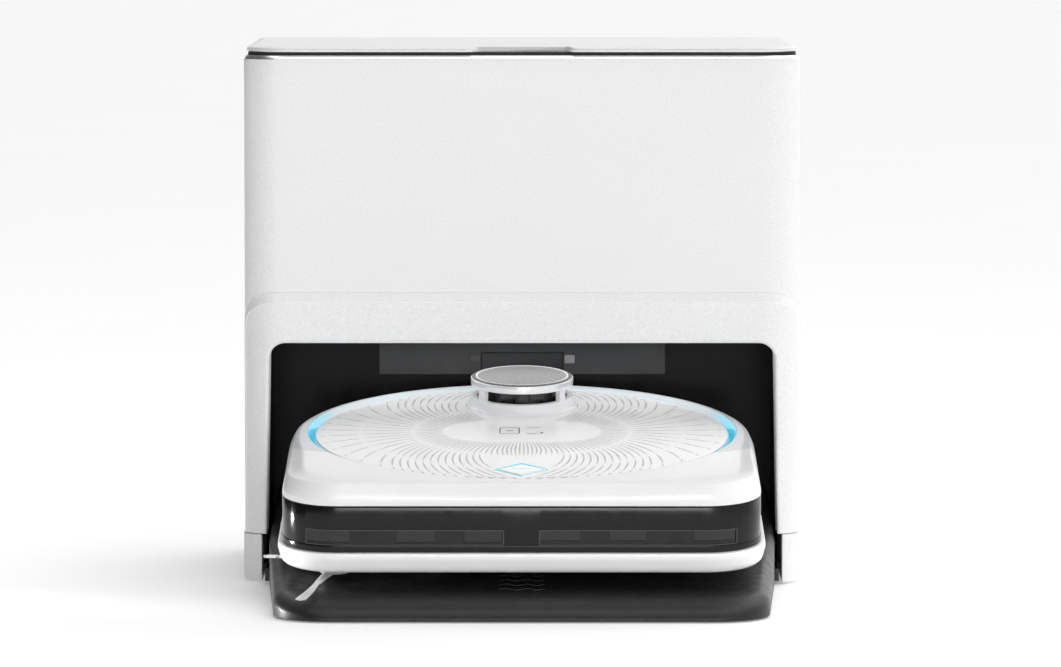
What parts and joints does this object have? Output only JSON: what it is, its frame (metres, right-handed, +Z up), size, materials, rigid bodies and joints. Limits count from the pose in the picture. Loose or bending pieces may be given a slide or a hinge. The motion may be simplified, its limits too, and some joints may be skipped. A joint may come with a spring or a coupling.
{
  "type": "robot vacuum with base station",
  "caption": "Robot vacuum with laser tower and round cover, docked on the ramp of its self-emptying base station.",
  "frame": {"origin": "on the floor under the middle of the whole footprint, ramp included", "axes": "+X to the right seen from the front, +Y from the ramp to the back of the station, +Z up"},
  "size_m": [0.412, 0.472, 0.3965],
  "materials": {
    "station_white": "satin, fine speckled grain",
    "lid_white": "satin",
    "tray_grey": "satin, fine texture",
    "base_dark": "matte",
    "grip_rubber": "ribbed, matte",
    "foot_rubber": "matte",
    "liner_black": "glossy",
    "dock_dark": "satin",
    "inner_grey": "matte",
    "gasket_black": "matte",
    "pin_steel": "turned",
    "tank_clear": "moulded, slightly smoky",
    "tank_smoke": "moulded, smoky",
    "cap_dark": "fine texture",
    "bag_cloth": "non-woven, soft",
    "collar_card": "pressed board",
    "blower_grey": "matte",
    "fan_black": "satin",
    "board_green": "soldermask",
    "socket_black": "satin",
    "grille_grey": "matte",
    "contact_metal": "polished",
    "robot_white": "semi-gloss",
    "robot_grey": "semi-gloss",
    "chassis_white": "satin",
    "disc_white": "gloss, fine grey dash pattern",
    "ring_cyan": "lit light guide",
    "button_white": "gloss, cyan outline",
    "bumper_black": "gloss",
    "window_dark": "tinted gloss",
    "lidar_white": "gloss",
    "turret_black": "satin",
    "pulley_grey": "satin",
    "dust_smoke": "smoky, moulded",
    "battery_dark": "shrink film",
    "arm_dark": "matte",
    "wheel_grey": "matte",
    "tyre_black": "blocked tread",
    "caster_black": "satin",
    "side_brush_grey": "soft bristles on a moulded hub",
    "roller_rubber": "soft fins",
    "mop_dark": "matte",
    "mop_cloth": "looped microfibre"
  },
  "bodies": {
    "station": {"base_plate": "base_dark", "base_skirt": "station_white", "ramp_tray": "tray_grey", "ramp_grips": "grip_rubber", "arch_frame": "station_white", "rear_shell": "station_white", "front_panel": "station_white", "cavity_liner": "liner_black", "dock_panel": "dock_dark", "inner_deck": "inner_grey", "lid_gasket": "gasket_black", "hinge_pins": "pin_steel", "clean_tank": "tank_clear", "dirty_tank": "tank_smoke", "tank_caps": "cap_dark", "dust_bag": "bag_cloth", "bag_collar": "collar_card", "fan_housing": "blower_grey", "dust_duct": "blower_grey", "power_board": "board_green", "power_inlet": "socket_black", "exhaust_grille": "grille_grey", "rubber_feet": "foot_rubber", "station_screws": "pin_steel"},
    "lid": {"lid": "lid_white"},
    "blower_rotor": {"fan_impeller": "fan_black"},
    "pad_left": {"charge_pad_left": "contact_metal"},
    "pad_right": {"charge_pad_right": "contact_metal"},
    "robot": {"chassis": "chassis_white", "top_shell": "robot_grey", "front_deck": "robot_white", "light_ring": "ring_cyan", "lidar_cage": "lidar_white", "lidar_cap": "lidar_white", "dust_box": "dust_smoke", "battery_pack": "battery_dark", "main_board": "board_green", "robot_tank": "dust_smoke", "robot_contacts": "contact_metal", "brush_guard": "socket_black"},
    "cover": {"disc_lid": "disc_white"},
    "button": {"start_button": "button_white"},
    "bumper": {"bumper": "bumper_black", "bumper_lip": "robot_white", "bumper_windows": "window_dark"},
    "turret": {"lidar_head": "turret_black"},
    "pulley": {"lidar_pulley": "pulley_grey"},
    "suction_rotor": {"suction_fan": "fan_black"},
    "arm_left": {"wheel_arm_left": "arm_dark"},
    "arm_right": {"wheel_arm_right": "arm_dark"},
    "wheel_left": {"wheel_left": "wheel_grey", "tyre_left": "tyre_black"},
    "wheel_right": {"wheel_right": "wheel_grey", "tyre_right": "tyre_black"},
    "caster": {"caster_fork": "arm_dark"},
    "caster_roller": {"caster_wheel": "caster_black"},
    "side_brush": {"side_brush": "side_brush_grey"},
    "roller": {"roller_brush": "roller_rubber"},
    "mop": {"mop_plate": "mop_dark", "mop_pad": "mop_cloth"}
  },
  "joints": [
    {"name": "robot_dock_slide", "type": "slide", "parent": "station", "child": "robot", "axis": [0, -0.992, -0.1262], "range_m": [0, 0.15]},
    {"name": "lid_hinge", "type": "hinge", "parent": "station", "child": "lid", "pos_m": [0, 0.232, 0.3928], "axis": [-1, 0, 0], "range_deg": [0, 80]},
    {"name": "blower_spin", "type": "hinge", "parent": "station", "child": "blower_rotor", "pos_m": [-0.105, 0.18, 0.105], "axis": [0, 1, 0], "continuous": true},
    {"name": "pad_left_press", "type": "slide", "parent": "station", "child": "pad_left", "axis": [0, 1, 0], "range_m": [0, 0.004], "stiffness_N_per_m": 300, "springref_m": -0.002},
    {"name": "pad_right_press", "type": "slide", "parent": "station", "child": "pad_right", "axis": [0, 1, 0], "range_m": [0, 0.004], "stiffness_N_per_m": 300, "springref_m": -0.002},
    {"name": "cover_lift", "type": "slide", "parent": "robot", "child": "cover", "axis": [0, -0.1262, 0.992], "range_m": [0, 0.04]},
    {"name": "button_press", "type": "slide", "parent": "cover", "child": "button", "axis": [0, 0.1262, -0.992], "range_m": [0, 0.001], "stiffness_N_per_m": 600, "springref_m": -0.001},
    {"name": "bumper_press", "type": "slide", "parent": "robot", "child": "bumper", "axis": [0, 0.992, 0.1262], "range_m": [0, 0.004], "stiffness_N_per_m": 400, "springref_m": -0.003},
    {"name": "turret_spin", "type": "hinge", "parent": "robot", "child": "turret", "pos_m": [0, 0.05536, 0.13148], "axis": [0, -0.1262, 0.992], "continuous": true},
    {"name": "pulley_spin", "type": "hinge", "parent": "robot", "child": "pulley", "pos_m": [0.046, 0.03505, 0.1168], "axis": [0, -0.1262, 0.992], "continuous": true},
    {"name": "suction_spin", "type": "hinge", "parent": "robot", "child": "suction_rotor", "pos_m": [0, -0.01011, 0.06771], "axis": [0, -0.1262, 0.992], "continuous": true},
    {"name": "arm_left_hinge", "type": "hinge", "parent": "robot", "child": "arm_left", "pos_m": [-0.092, 0.01429, 0.0819], "axis": [-1, 0, 0], "range_deg": [0, 9]},
    {"name": "arm_right_hinge", "type": "hinge", "parent": "robot", "child": "arm_right", "pos_m": [0.092, 0.01429, 0.0819], "axis": [-1, 0, 0], "range_deg": [0, 9]},
    {"name": "wheel_left_spin", "type": "hinge", "parent": "arm_left", "child": "wheel_left", "pos_m": [-0.111, -0.02885, 0.07238], "axis": [1, 0, 0], "continuous": true},
    {"name": "wheel_right_spin", "type": "hinge", "parent": "arm_right", "child": "wheel_right", "pos_m": [0.111, -0.02885, 0.07238], "axis": [1, 0, 0], "continuous": true},
    {"name": "caster_swivel", "type": "hinge", "parent": "robot", "child": "caster", "pos_m": [0, -0.16126, 0.04344], "axis": [0, -0.1262, 0.992], "continuous": true},
    {"name": "caster_roll", "type": "hinge", "parent": "caster", "child": "caster_roller", "pos_m": [0, -0.15504, 0.03415], "axis": [1, 0, 0], "continuous": true},
    {"name": "side_brush_spin", "type": "hinge", "parent": "robot", "child": "side_brush", "pos_m": [-0.133, -0.15962, 0.03054], "axis": [0, -0.1262, 0.992], "continuous": true},
    {"name": "roller_spin", "type": "hinge", "parent": "robot", "child": "roller", "pos_m": [0, -0.07588, 0.0538], "axis": [1, 0, 0], "continuous": true},
    {"name": "mop_shuttle", "type": "slide", "parent": "robot", "child": "mop", "axis": [1, 0, 0], "range_m": [-0.0025, 0.0025]}
  ],
  "couplings": [
    {"joint": "pulley_spin", "follows": "turret_spin", "ratio": 4.4286}
  ]
}
